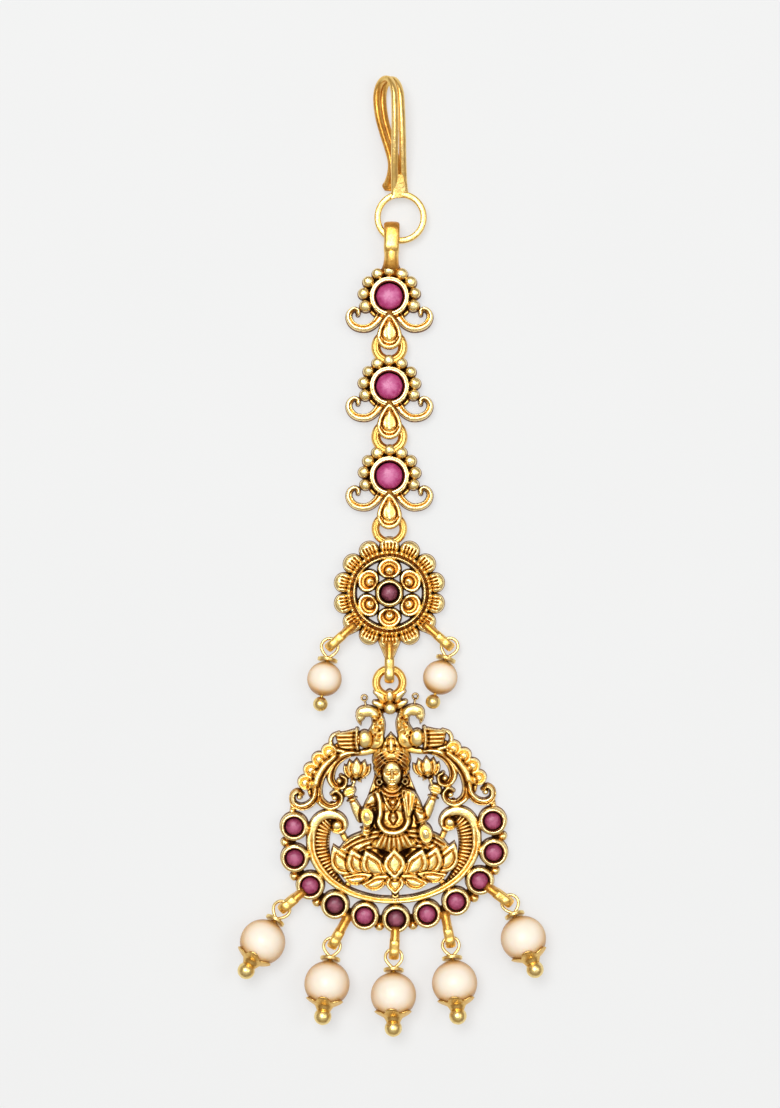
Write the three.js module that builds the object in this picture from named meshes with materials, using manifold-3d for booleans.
// Maang tikka: a hair hook, three gem-set chain links, a flower medallion and a fretwork
// pendant with a seated goddess, with seven pearl drops. It lies flat on its back.
// Millimetres, +Z up off the surface it lies on, +Y towards the hair hook, +X to the right.
import * as THREE from 'three';
import { mergeVertices } from 'three/addons/utils/BufferGeometryUtils.js';
import Module from 'manifold-3d';

const wasm = await Module();
wasm.setup();

// ---- Driving sizes ---------------------------------------------------------------------
const LINK_PITCH = 11.2;          // one chain link to the next
const LAST_PITCH = 14.64;         // last chain link to the medallion
const PENDANT_DROP = 11.16;       // medallion to the pendant's ring
const PENDANT_TURN = 1.6;         // degrees that the pendant lies turned
const EYE = { height: 3.0, wall: 0.8 };   // upright loops, which stand on the surface
const MID = EYE.height / 2;       // height of every ring, wire loop and eyelet's middle
const RING = { radius: 1.65, wire: 0.5 }; // flat rings that the upright loops go through
const RING_Y = { link: 4.9, medallion: 8.05, pendant: 19.7 };
const STONE_GAP = 0.1;            // clear space round a stone in its bezel
const LINK_BEZEL = { outer: 2.53, inner: 1.75, seat: 1.4, top: 2.4, sides: 14 };
const MEDALLION_BEZEL = { outer: 1.83, inner: 1.1, seat: 1.6, top: 2.6, sides: 9 };
const PENDANT_BEZEL = { outer: 1.8, inner: 1.1, seat: 1.3, top: 2.3, sides: 9 };
const OVAL = { x: 12.69, y: 9.88, step: 3.93, count: 11 };    // the pendant's row of bezels
const CRESCENT = { x: 10.4, y: 7.6, half: 0.6, height: 2.2 }; // middle line of its rim

// The pearl drops. loopAt: pearl centre to the middle of the wire loop, loop: its radius.
const LARGE = { pearl: 2.83, ball: 1.1, ballAt: 4.35, loopAt: 4.75, loop: 1.05, neck: 3.45, washerAt: 3.12 };
const SMALL = { pearl: 2.16, ball: 0.92, ballAt: 3.18, loopAt: 4.1, loop: 1.05, neck: 2.75, washerAt: 2.42 };
const WIRE = 0.2;                 // radius of the drops' pins
const DRILL = 0.38;               // radius of the hole through a pearl
const WASHER = { hole: 0.36, radius: 1.25, half: 0.2 };
const CAP = { gap: 0.08, thick: 0.22, hole: 9, edge: 43, petals: 5, notch: 0.9 }; // hole, edge: degrees

const rad = THREE.MathUtils.degToRad;
const polar = (r, degrees) => [r * Math.cos(rad(degrees)), r * Math.sin(rad(degrees))];

// ---- Materials ---------------------------------------------------------------------------
const GOLD = new THREE.MeshStandardMaterial({ color: 0xd6a243, roughness: 0.32, metalness: 1 });
const WIRE_GOLD = new THREE.MeshStandardMaterial({ color: 0xe6c373, roughness: 0.25, metalness: 1 });
const RUBY = new THREE.MeshStandardMaterial({ color: 0xa32a63, roughness: 0.15, metalness: 0 });
const PEARL = new THREE.MeshStandardMaterial({ color: 0xf3dcc4, roughness: 0.3, metalness: 0 });

// ---- Solids ------------------------------------------------------------------------------
const GRID = 1000;                // places are rounded to a micrometre, so flat feet share a plane

function solid(geometry) {
  const plain = geometry.index ? geometry.toNonIndexed() : geometry.clone();
  plain.deleteAttribute('normal');
  plain.deleteAttribute('uv');
  const places = plain.attributes.position.array;
  places.forEach((value, i) => { places[i] = Math.round(value * GRID) / GRID; });
  const merged = mergeVertices(plain, 1 / GRID);
  const triVerts = [];
  for (let i = 0; i < merged.index.count; i += 3) {
    const [a, b, c] = [0, 1, 2].map((k) => merged.index.getX(i + k));
    if (a !== b && b !== c && c !== a) triVerts.push(a, b, c);
  }
  return new wasm.Manifold(new wasm.Mesh({
    numProp: 3,
    vertProperties: merged.attributes.position.array,
    triVerts: new Uint32Array(triVerts),
  }));
}

function geometryOf(manifold) {
  const { vertProperties, triVerts } = manifold.getMesh();
  const geometry = new THREE.BufferGeometry();
  geometry.setAttribute('position', new THREE.BufferAttribute(vertProperties, 3));
  geometry.setIndex(new THREE.BufferAttribute(triVerts, 1));
  return geometry;
}

const joined = (geometries) => wasm.Manifold.union(geometries.flat(Infinity).map(solid));

function part(name, shape, material) {
  const geometry = shape.isBufferGeometry ? shape : geometryOf(shape);
  const mesh = new THREE.Mesh(geometry, material);
  mesh.name = name;
  return mesh;
}

// ---- Plain shapes ------------------------------------------------------------------------
// A rounded mass of relief on the casting's flat back: half widths, height and place.
function dome([rx, ry], height, at, turn = 0, sides = 6) {
  const profile = [[0, 0], [1, 0], [0.85, 0.75 * height], [0, height]];
  return turned(profile, sides).scale(rx, ry, 1).rotateZ(rad(turn)).translate(at[0], at[1], 0);
}

function ball(radius, sides = 8) {
  return new THREE.SphereGeometry(radius, sides, 5).rotateX(Math.PI / 2);
}

function rod(from, to, r0, r1 = r0) {
  const a = new THREE.Vector3(...from);
  const b = new THREE.Vector3(...to);
  const along = b.clone().sub(a);
  const turn = new THREE.Quaternion().setFromUnitVectors(
    new THREE.Vector3(0, 1, 0), along.clone().normalize());
  return new THREE.CylinderGeometry(r1, r0, along.length(), 6)
    .applyQuaternion(turn)
    .translate(...a.add(b).multiplyScalar(0.5).toArray());
}

function plate(outline, z0, z1) {
  const shape = new THREE.Shape(outline.map(([x, y]) => new THREE.Vector2(x, y)));
  return new THREE.ExtrudeGeometry(shape, { depth: z1 - z0, bevelEnabled: false, steps: 1 })
    .translate(0, 0, z0);
}

// A tube or flat band along a smooth curve through points in space.
function swept(points, section, steps) {
  const curve = new THREE.CatmullRomCurve3(points.map((p) => new THREE.Vector3(...p)), false, 'centripetal');
  return new THREE.ExtrudeGeometry(section, { extrudePath: curve, steps, bevelEnabled: false });
}

function roundSection(radius) {
  const corners = Array.from({ length: 5 }, (_, i) => new THREE.Vector2(...polar(radius, 72 * i)));
  return new THREE.Shape(corners);
}

// A ridge with a flat foot along a path. x of its section runs along Z, y across the path.
function band(outline, half, height, steps = outline.length - 1) {
  const corners = [
    [-height / 2, -half], [height / 2 - 0.6 * half, -half], [height / 2, 0],
    [height / 2 - 0.6 * half, half], [-height / 2, half]];
  const section = new THREE.Shape(corners.map(([x, y]) => new THREE.Vector2(x, y)));
  return swept(outline.map(([x, y]) => [x, y, height / 2]), section, steps);
}

// A body of revolution about Z.
function turned(profile, segments) {
  return new THREE.LatheGeometry(profile.map(([r, z]) => new THREE.Vector2(r, z)), segments)
    .rotateX(Math.PI / 2);
}

function ring(y) {
  return new THREE.TorusGeometry(RING.radius, RING.wire, 5, 12).translate(0, y, MID);
}

// An upright loop standing on its edge, which a ring or a wire goes through. It runs from
// the root to the tip along a direction, with its hole between two distances.
function eyelet({ root, tip, hole, width, angle, from = [0, 0] }) {
  const outer = new THREE.Shape();
  const half = EYE.height / 2;
  const round = half * 0.55;
  outer.moveTo(root, 0).lineTo(tip - round, 0).lineTo(tip, round);
  outer.lineTo(tip, EYE.height - round).lineTo(tip - round, EYE.height).lineTo(root, EYE.height);
  outer.closePath();
  const gap = new THREE.Path();
  const low = EYE.wall;
  const high = EYE.height - EYE.wall;
  gap.moveTo(hole[0], low).lineTo(hole[0], high).lineTo(hole[1], high).lineTo(hole[1], low);
  gap.closePath();
  outer.holes.push(gap);
  return new THREE.ExtrudeGeometry(outer, { depth: width, bevelEnabled: false, steps: 1 })
    .translate(0, 0, -width / 2)
    .rotateX(Math.PI / 2)
    .rotateZ(rad(angle))
    .translate(from[0], from[1], 0);
}

const mirrored = ([x, ...rest]) => [-x, ...rest];
const bothSides = (make) => [1, -1].map((side) => make(side));
const sided = (side, points) => (side > 0 ? points : points.map(mirrored));

// ---- Bezels and stones -------------------------------------------------------------------
function bezel({ outer, inner, seat, top, sides }, at = [0, 0]) {
  return turned([
    [0, 0], [outer, 0], [outer - 0.1, top], [inner, top], [inner, seat], [0, seat]], sides)
    .translate(at[0], at[1], 0);
}

// A low cabochon that stands a little out of its bezel.
function stone({ inner, seat, top }) {
  const radius = inner - STONE_GAP;
  const foot = seat + STONE_GAP;
  const girdle = top - 0.25;
  return turned([
    [0, foot], [radius, foot], [radius, girdle], [radius * 0.8, girdle + 0.25 * radius],
    [0, girdle + 0.4 * radius]], 10);
}

// ---- Chain links -------------------------------------------------------------------------
const LINK_BASE = { radius: 3.1, height: 1.2, sides: 10 };
const BEAD_ARC = { count: 9, radius: 3.2, step: 27.6, bead: 0.62, height: 2.0 };
const SCROLL = { half: 0.4, height: 1.9, steps: 11 };
const SCROLL_LINE = [[1.0, -2.4], [1.95, -3.5], [2.9, -3.87], [3.9, -3.8], [4.65, -3.35],
  [5.1, -2.6], [4.95, -1.85], [4.4, -1.5], [3.95, -1.75]];
const BAIL = { root: 2.0, tip: 6.6, hole: [3.75, 5.85], width: 1.4, angle: -90 };
const STRAP = { root: 2.8, tip: 9.4, hole: [6.0, 8.65], width: 1.8, angle: 90, from: [0.3, 0] };

// The front of a link's bail is a teardrop, given by its right-hand side from the top.
const TEARDROP = [[0, -2.3], [0.75, -3.3], [1.3, -4.2], [1.5, -5.0], [1.3, -5.85],
  [0.75, -6.45], [0, -6.65]];

function teardrop() {
  const outline = [...TEARDROP, ...TEARDROP.slice(1, -1).map(mirrored).reverse()];
  return plate(outline, EYE.height - 0.95 * EYE.wall, EYE.height);
}

function linkCasting(top) {
  const beads = Array.from({ length: BEAD_ARC.count }, (_, i) => {
    const angle = 90 + (i - (BEAD_ARC.count - 1) / 2) * BEAD_ARC.step;
    return dome([BEAD_ARC.bead, BEAD_ARC.bead], BEAD_ARC.height, polar(BEAD_ARC.radius, angle));
  });
  const scrolls = bothSides((side) =>
    band(sided(side, SCROLL_LINE), SCROLL.half, SCROLL.height, SCROLL.steps));
  const base = dome([LINK_BASE.radius, LINK_BASE.radius], LINK_BASE.height, [0, 0], 0, LINK_BASE.sides);
  return joined([bezel(LINK_BEZEL), base, beads, scrolls, teardrop(), eyelet(BAIL), top]);
}

// The first link carries an upright strap for the hook's ring, the others a flat ring.
function chainLink(number, y) {
  const top = number === 1 ? eyelet(STRAP) : ring(RING_Y.link);
  const link = new THREE.Group();
  link.position.y = y;
  link.add(part(`chain_link_${number}`, linkCasting(top), GOLD));
  link.add(part(`chain_stone_${number}`, stone(LINK_BEZEL), RUBY));
  return link;
}

// ---- Hair hook ---------------------------------------------------------------------------
// Middle line of the doubled wire, from the first link: up the front leg, over, and back
// behind it to the tip. lean is how far the pair of wires is turned about the line.
const HOOK_ROUTE = [
  { x: 1.25, y: 12.9, z: 1.55, lean: 18 },
  { x: 1.15, y: 14.6, z: 2.0, lean: 38 },
  { x: 1.1, y: 17.0, z: 2.85, lean: 40 },
  { x: 1.1, y: 20.0, z: 3.55, lean: 40 },
  { x: 1.1, y: 23.0, z: 3.85, lean: 40 },
  { x: 0.95, y: 25.4, z: 3.75, lean: 40 },
  { x: 0.4, y: 26.8, z: 3.1, lean: 40 },
  { x: -0.3, y: 27.05, z: 2.25, lean: 40 },
  { x: -0.95, y: 26.3, z: 1.4, lean: 40 },
  { x: -1.2, y: 24.8, z: 1.0, lean: 40 },
  { x: -0.96, y: 22.5, z: 1.0, lean: 40 },
  { x: -0.33, y: 20.1, z: 1.3, lean: 40 },
  { x: 0.2, y: 18.4, z: 1.6, lean: 40 },
  { x: 0.6, y: 16.6, z: 1.65, lean: 38 },
  { x: 0.45, y: 15.1, z: 1.25, lean: 30 },
  { x: 0.0, y: 13.9, z: 0.85, lean: 15 }];
const HOOK_WIRE = { apart: 0.75, radius: 0.33, steps: 24 };
const HOOK_RING = { x: 1.4, y: 9.9, inner: 2.5, outer: 3.25, thick: 0.9 };
const SHANK = [[0.35, 12.6], [2.4, 12.6], [2.0, 14.0], [1.8, 14.9], [0.6, 14.9], [0.45, 14.0]];

function hairHook() {
  const { inner, outer, thick } = HOOK_RING;
  const [low, high] = [MID - thick / 2, MID + thick / 2];
  const flatRing = turned([[inner, low], [outer, low], [outer, high], [inner, high], [inner, low]], 24)
    .translate(HOOK_RING.x, HOOK_RING.y, 0);
  const wires = [-1, 1].map((side) => {
    const points = HOOK_ROUTE.map(({ x, y, z, lean }) => [
      x + side * HOOK_WIRE.apart * Math.cos(rad(lean)), y,
      z - side * HOOK_WIRE.apart * Math.sin(rad(lean))]);
    return swept(points, roundSection(HOOK_WIRE.radius), HOOK_WIRE.steps);
  });
  const shank = plate(SHANK, MID - 0.4, MID + 0.75);
  const tip = ball(0.5).scale(1.9, 1, 0.8).translate(0, 13.8, 0.82);
  return part('hair_hook', joined([flatRing, wires, shank, tip]), GOLD);
}

// ---- Flower medallion --------------------------------------------------------------------
// The rim's section (radius, height) closes on itself: between the inner petals it is open.
const RIM = [[4.05, 0], [5.25, 0], [5.2, 1.75], [4.65, 2.2], [4.05, 2.1], [4.05, 0]];
const OUTER_PETALS = { count: 14, radius: 5.85, size: [1.15, 1.22], height: 2.2 };
const INNER_PETALS = { count: 6, radius: 2.85, size: [1.75, 1.1], height: 2.1 };
const SIDE_ARM = { root: 6.0, tip: 10.5, hole: [8.3, 9.75], width: 1.15 };
const SIDE_ARMS = [{ angle: 222, lean: 9 }, { angle: -41.5, lean: 17 }];
const LOWER_ARM = { root: 6.2, tip: 11.25, hole: [8.6, 10.4], width: 1.2, angle: -90 };
const HANG_AT = 9.0;              // where a drop's wire goes through a side arm

function petals({ count, radius, size, height }) {
  return Array.from({ length: count }, (_, i) => {
    const angle = 90 + (360 * i) / count;
    return dome(size, height, polar(radius, angle), angle);
  });
}

function medallionCasting() {
  return joined([
    turned(RIM, 21),
    petals(OUTER_PETALS),
    petals(INNER_PETALS),
    bezel(MEDALLION_BEZEL),
    ring(RING_Y.medallion),
    SIDE_ARMS.map(({ angle }) => eyelet({ ...SIDE_ARM, angle })),
    eyelet(LOWER_ARM)]);
}

// ---- Pendant -----------------------------------------------------------------------------
// Places along the oval of bezels, one chord apart, counted from the bottom one.
function ovalPlaces() {
  const at = (t) => [OVAL.x * Math.sin(t), -OVAL.y * Math.cos(t)];
  const right = [];
  let t = 0;
  let last = at(0);
  while (right.length < (OVAL.count - 1) / 2) {
    t += 0.002;
    const here = at(t);
    if (Math.hypot(here[0] - last[0], here[1] - last[1]) >= OVAL.step) {
      right.push(here);
      last = here;
    }
  }
  return [...right.map(mirrored).reverse(), at(0), ...right];
}

const BEZEL_PLACES = ovalPlaces();

// A grain sits outside each pair of neighbours, in the notch between them.
const GRAIN = { out: 1.15, size: [0.65, 0.65], height: 1.9 };

function grainPlace(a, b) {
  const middle = new THREE.Vector2((a[0] + b[0]) / 2, (a[1] + b[1]) / 2);
  const out = new THREE.Vector2(middle.x / OVAL.x ** 2, middle.y / OVAL.y ** 2).normalize();
  return middle.addScaledVector(out, GRAIN.out).toArray();
}

const GRAINS = BEZEL_PLACES.slice(1).map((place, i) => grainPlace(BEZEL_PLACES[i], place));

// The rim: half an ellipse below, then up and over into a spiral with a bulb at its end.
function crescentRim(side) {
  const lower = Array.from({ length: 9 }, (_, i) => {
    const t = rad(i * 11.25);
    return [CRESCENT.x * Math.sin(t), -CRESCENT.y * Math.cos(t)];
  });
  const upper = [[9.95, 1.8], [9.1, 2.95], [7.75, 3.4], [6.5, 2.95], [6.1, 2.1], [6.5, 1.5]];
  return band(sided(side, [...lower, ...upper]), CRESCENT.half, CRESCENT.height, 18);
}

// The ribbed web inside the rim: its free edge going up, then its root coming down.
const RIB_EDGE = [[5.6, -6.0], [7.2, -4.6], [8.1, -2.8], [8.4, -0.8], [8.2, 0.9], [7.9, 1.9]];
const RIB_ROOT = [[8.6, 2.9], [9.5, 1.8], [9.9, 0], [9.7, -2.8], [8.4, -4.5], [5.9, -6.3]];

// Scrolls of the fretwork, right-hand side: each one's line, its curl's middle and radius.
const FRET_SCROLLS = [
  { line: [[4.2, 10.9], [6.0, 10.7], [7.2, 9.8], [7.8, 8.4], [7.5, 7.1], [6.7, 6.6], [6.0, 7.1], [6.1, 7.9]],
    curl: [6.6, 7.6], end: 0.5 },
  { line: [[7.6, 9.5], [8.8, 8.2], [9.3, 6.6], [8.9, 5.0], [7.7, 4.35], [6.6, 4.8], [6.4, 5.8], [7.0, 6.3]],
    curl: [7.2, 5.6], end: 0.6 },
  { line: [[9.5, 6.9], [9.8, 5.6], [10.5, 4.6], [11.6, 4.3], [12.4, 4.9], [12.3, 5.8], [11.6, 6.0]],
    curl: [11.5, 5.4], end: 0.5 }];
const SHELLS = [[7.8, 11.0], [8.95, 10.15], [9.9, 8.85], [10.5, 7.4]];
const TAIL_STRIP = [[1.6, 11.1], [3.0, 10.85], [4.6, 10.85], [6.2, 11.1], [7.2, 11.75], [7.35, 12.5],
  [6.8, 13.0]];
const STRUTS = [
  [[7.5, 3.3], [7.6, 4.6]], [[12.4, 4.7], [12.6, 3.4]], [[5.3, 8.2], [6.5, 7.6]],
  [[5.6, 5.8], [6.8, 5.5]], [[6.7, 1.6], [6.2, 0.3]], [[5.4, -4.8], [6.4, -6.2]]];

function fretwork(side) {
  const s = ([x, y]) => [side * x, y];
  const edge = [...RIB_EDGE, ...RIB_ROOT].map(s);
  return [
    crescentRim(side),
    plate(side > 0 ? edge : edge.reverse(), 0, 1.4),
    dome([0.75, 0.75], 2.4, s([6.95, 2.05])),
    FRET_SCROLLS.map(({ line, curl, end }) => [
      band(line.map(s), SCROLL.half, SCROLL.height), dome([end, end], 2.0, s(curl))]),
    SHELLS.map((place) => dome([1.0, 1.0], SCROLL.height, s(place))),
    STRUTS.map((ends) => band(ends.map(s), 0.38, 1.6))];
}

// The peacocks stand back to back on the fretwork and look outwards.
const NECK = [[1.0, 11.6], [1.5, 12.8], [1.4, 14.3], [1.8, 15.6], [2.6, 16.2], [3.5, 15.8]];

function peacock(side) {
  const s = ([x, y]) => [side * x, y];
  return [
    band(TAIL_STRIP.map(s), 0.3, 1.7),
    band(NECK.map(s), 0.65, 2.2),
    dome([1.2, 1.35], 2.3, s([1.9, 12.6])),
    dome([0.8, 0.8], 2.5, s([3.55, 15.5])),
    dome([0.3, 0.75], 1.9, s([3.6, 14.7])),
    dome([0.42, 0.42], 1.7, s([3.17, 16.75])),
    dome([0.9, 1.2], 2.4, s([3.1, 12.3])),
    band([[4.0, 11.2], [4.0, 13.4]].map(s), 0.3, 2.4),
    dome([1.6, 1.0], 2.1, s([5.4, 12.15]))];
}

// The lotus throne: an upper row of petals that stand up and a lower row that droops.
const THRONE_PETALS = [
  { at: [0, -2.9], size: [1.3, 1.65], height: 2.9, turn: 0 },
  { at: [2.3, -2.7], size: [0.95, 1.9], height: 2.6, turn: -32 },
  { at: [4.1, -2.2], size: [0.95, 2.1], height: 2.4, turn: -42 },
  { at: [5.8, -1.7], size: [1.0, 2.1], height: 2.2, turn: -48 },
  { at: [0, -5.7], size: [1.05, 1.25], height: 2.6, turn: 0 },
  { at: [2.6, -5.3], size: [1.7, 0.9], height: 2.2, turn: 14 },
  { at: [4.8, -4.6], size: [1.7, 0.8], height: 2.0, turn: 22 }];

function throne() {
  const petals = THRONE_PETALS.flatMap(({ at: [x, y], height, size, turn }) =>
    (x === 0 ? [1] : [1, -1]).map((side) => dome(size, height, [side * x, y], side * turn)));
  return [petals, dome([6.0, 2.2], 2.0, [0, -2.0], 0, 8), band([[0, -6.2], [0, -7.7]], 0.5, 1.6)];
}

// The seated figure, in the plain masses of its relief.
function goddess() {
  const limbs = bothSides((side) => {
    const s = ([x, y]) => [side * x, y];
    return [
      dome([3.4, 1.15], 2.7, s([3.4, 0.15]), side * -4),
      band([[2.4, 5.0], [3.9, 3.2], [5.3, 5.7]].map(s), 0.55, 2.2),
      dome([0.65, 0.8], 2.2, s([5.4, 6.0])),
      band([[5.0, 6.0], [4.5, 7.8]].map(s), 0.3, 1.7),
      dome([1.5, 1.1], 2.1, s([4.3, 8.6]), side * 8)];
  });
  return [
    limbs,
    dome([2.0, 3.1], 3.0, [0.1, 3.2]),
    dome([2.9, 1.6], 2.5, [0, 4.6]),
    dome([2.0, 1.3], 2.9, [0, -0.3]),
    dome([2.35, 2.6], 2.4, [0, 9.0], 0, 8),
    dome([1.35, 1.75], 3.4, [0, 7.9]),
    dome([1.3, 1.6], 2.3, [0, 11.5]),
    band([[-2.6, 1.2], [-3.2, 3.2]], 0.55, 2.8),
    dome([0.72, 1.1], 3.1, [-3.2, 3.2]),
    band([[2.9, 3.6], [3.8, 1.4]], 0.55, 2.9),
    dome([0.75, 1.1], 3.3, [3.95, 0.8], -14)];
}

// Where the pendant's arms start, which way they point, how far they reach, and how many
// degrees their drops' feet lie to the left.
const ARMS = [
  { from: BEZEL_PLACES[2], angle: 218, tip: 4.9, root: 1.2, lean: 32 },
  { from: GRAINS[3], angle: -120, tip: 4.1, root: -0.4, lean: 9 },
  { from: BEZEL_PLACES[5], angle: -95, tip: 5.05, root: 1.2, lean: 2 },
  { from: GRAINS[6], angle: -81, tip: 3.95, root: -0.4, lean: -4 },
  { from: BEZEL_PLACES[8], angle: -38, tip: 4.95, root: 1.2, lean: -19 }];
const ARM = { wall: 0.75, hole: 1.3, width: 1.1 };
const HOLD = 1.3;                 // from an arm's tip back to the wire that it holds

function pendantCasting() {
  const cluster = [
    dome([0.75, 0.75], 2.6, [0, 17.6]),
    dome([0.85, 0.85], 2.6, [0, 16.3]),
    bothSides((side) => dome([1.05, 0.7], 2.3, [side * 1.3, 16.9], side * 24)),
    band([[-1.6, 15.4], [0, 16.2], [1.6, 15.4]], 0.5, 1.8)];
  const arms = ARMS.map(({ from, angle, root, tip }) => eyelet({
    root, tip, hole: [tip - ARM.wall - ARM.hole, tip - ARM.wall], width: ARM.width, angle, from }));
  return joined([
    ring(RING_Y.pendant), cluster, arms,
    bothSides(peacock), bothSides(fretwork), throne(), goddess(),
    BEZEL_PLACES.map((place) => bezel(PENDANT_BEZEL, place)),
    GRAINS.map((place) => dome(GRAIN.size, GRAIN.height, place))]);
}

// ---- Pearl drops -------------------------------------------------------------------------
// A drop's own +Y runs up its pin from the pearl's centre, and its loop lies in its XY plane.
function dropPin({ ball: foot, ballAt, loopAt, loop, neck }) {
  const turns = Array.from({ length: 12 }, (_, i) => {
    const [across, up] = polar(1, (360 * i) / 12);
    const pinch = up < 0 ? 1 - 0.45 * up * up : 1;
    return new THREE.Vector3(loop * across * pinch, loopAt + up * (up < 0 ? loopAt - neck : loop), 0);
  });
  const curve = new THREE.CatmullRomCurve3(turns, true, 'centripetal');
  return joined([
    new THREE.TubeGeometry(curve, 14, WIRE, 5, true),
    rod([0, -ballAt, 0], [0, neck + 0.1, 0], WIRE),
    ball(foot, 6).translate(0, -ballAt, 0)]);
}

function pearl({ pearl: r }) {
  const rings = 6;
  const edge = Math.asin(DRILL / r);
  const profile = Array.from({ length: rings + 1 }, (_, i) => {
    const t = -Math.PI / 2 + edge + ((Math.PI - 2 * edge) * i) / rings;
    return new THREE.Vector2(r * Math.cos(t), r * Math.sin(t));
  });
  return new THREE.LatheGeometry([...profile, profile[0]], 12);
}

function washer({ washerAt }) {
  const { hole, radius, half } = WASHER;
  const profile = [[hole, -half], [radius, -half], [radius, half], [hole, half], [hole, -half]];
  return new THREE.LatheGeometry(profile.map(([x, y]) => new THREE.Vector2(x, y)), 10)
    .translate(0, washerAt, 0);
}

// A bead cap: a thin cup round the foot of the pearl, with a scalloped edge.
function beadCap({ pearl: r }) {
  const inside = r + CAP.gap;
  const outside = inside + CAP.thick;
  const middle = (CAP.hole + CAP.edge) / 2;
  const arc = (radius, degrees) => new THREE.Vector2(
    radius * Math.sin(rad(degrees)), -radius * Math.cos(rad(degrees)));
  const cup = new THREE.LatheGeometry([
    arc(outside, CAP.hole), arc(outside, middle), arc(outside, CAP.edge), arc(inside, CAP.edge),
    arc(inside, middle), arc(inside, CAP.hole), arc(outside, CAP.hole)], 2 * CAP.petals);
  const rim = -r * Math.cos(rad(CAP.edge));
  const notches = Array.from({ length: CAP.petals }, (_, i) =>
    rod([0, 0, 0], [...polar(1.5 * r, (360 * i) / CAP.petals), 0], 0.001, CAP.notch)
      .rotateX(Math.PI / 2)
      .translate(0, rim + 0.4, 0));
  return notches.reduce((left, notch) => left.subtract(solid(notch)), solid(cup));
}

// at: the middle of its loop. lean: degrees that its foot lies to the left. The pearl rests
// on the surface, so the pin slopes down to its loop.
function drop(name, size, at, lean) {
  const body = new THREE.Group();
  body.position.y = -size.loopAt;
  body.add(part(`${name}_pin`, dropPin(size), WIRE_GOLD));
  body.add(part(`${name}_pearl`, pearl(size), PEARL));
  body.add(part(`${name}_washer`, washer(size), WIRE_GOLD));
  if (size === LARGE) body.add(part(`${name}_cap`, beadCap(size), WIRE_GOLD));
  const tilted = new THREE.Group();
  tilted.rotation.x = -Math.asin((size.pearl - MID) / size.loopAt);
  tilted.add(body);
  const outer = new THREE.Group();
  outer.position.set(...at, MID);
  outer.rotation.z = rad(-lean);
  outer.add(tilted);
  return outer;
}

function medallion() {
  const group = new THREE.Group();
  group.add(part('medallion', medallionCasting(), GOLD));
  group.add(part('medallion_stone', stone(MEDALLION_BEZEL), RUBY));
  SIDE_ARMS.forEach(({ angle, lean }, i) => {
    group.add(drop(`small_drop_${i + 1}`, SMALL, polar(HANG_AT + SMALL.loop, angle), lean));
  });
  return group;
}

function pendant() {
  const group = new THREE.Group();
  group.add(part('pendant', pendantCasting(), GOLD));
  BEZEL_PLACES.forEach((place, i) => {
    const mesh = part(`pendant_stone_${i + 1}`, stone(PENDANT_BEZEL), RUBY);
    mesh.position.set(...place, 0);
    group.add(mesh);
  });
  ARMS.forEach(({ from, angle, tip, lean }, i) => {
    const [x, y] = polar(tip - HOLD + LARGE.loop, angle);
    const at = [from[0] + x, from[1] + y];
    group.add(drop(`large_drop_${i + 1}`, LARGE, at, lean));
  });
  group.position.y = -RING_Y.pendant;
  const hung = new THREE.Group();
  hung.add(group);
  hung.rotation.z = rad(PENDANT_TURN);
  hung.position.y = -PENDANT_DROP;
  return hung;
}

// ---- The whole ---------------------------------------------------------------------------
const tikka = new THREE.Group();
const top = LAST_PITCH + 2 * LINK_PITCH;
const hook = hairHook();
hook.position.y = top;
tikka.add(hook);
for (let i = 0; i < 3; i++) tikka.add(chainLink(i + 1, top - i * LINK_PITCH));
tikka.add(medallion());
tikka.add(pendant());

// The origin is the middle of the outline, on the surface that the piece lies on.
const box = new THREE.Box3().setFromObject(tikka, true);
const middle = box.getCenter(new THREE.Vector3());
tikka.position.set(-middle.x, -middle.y, -box.min.z);
const root = new THREE.Group();
root.add(tikka);

export default root;
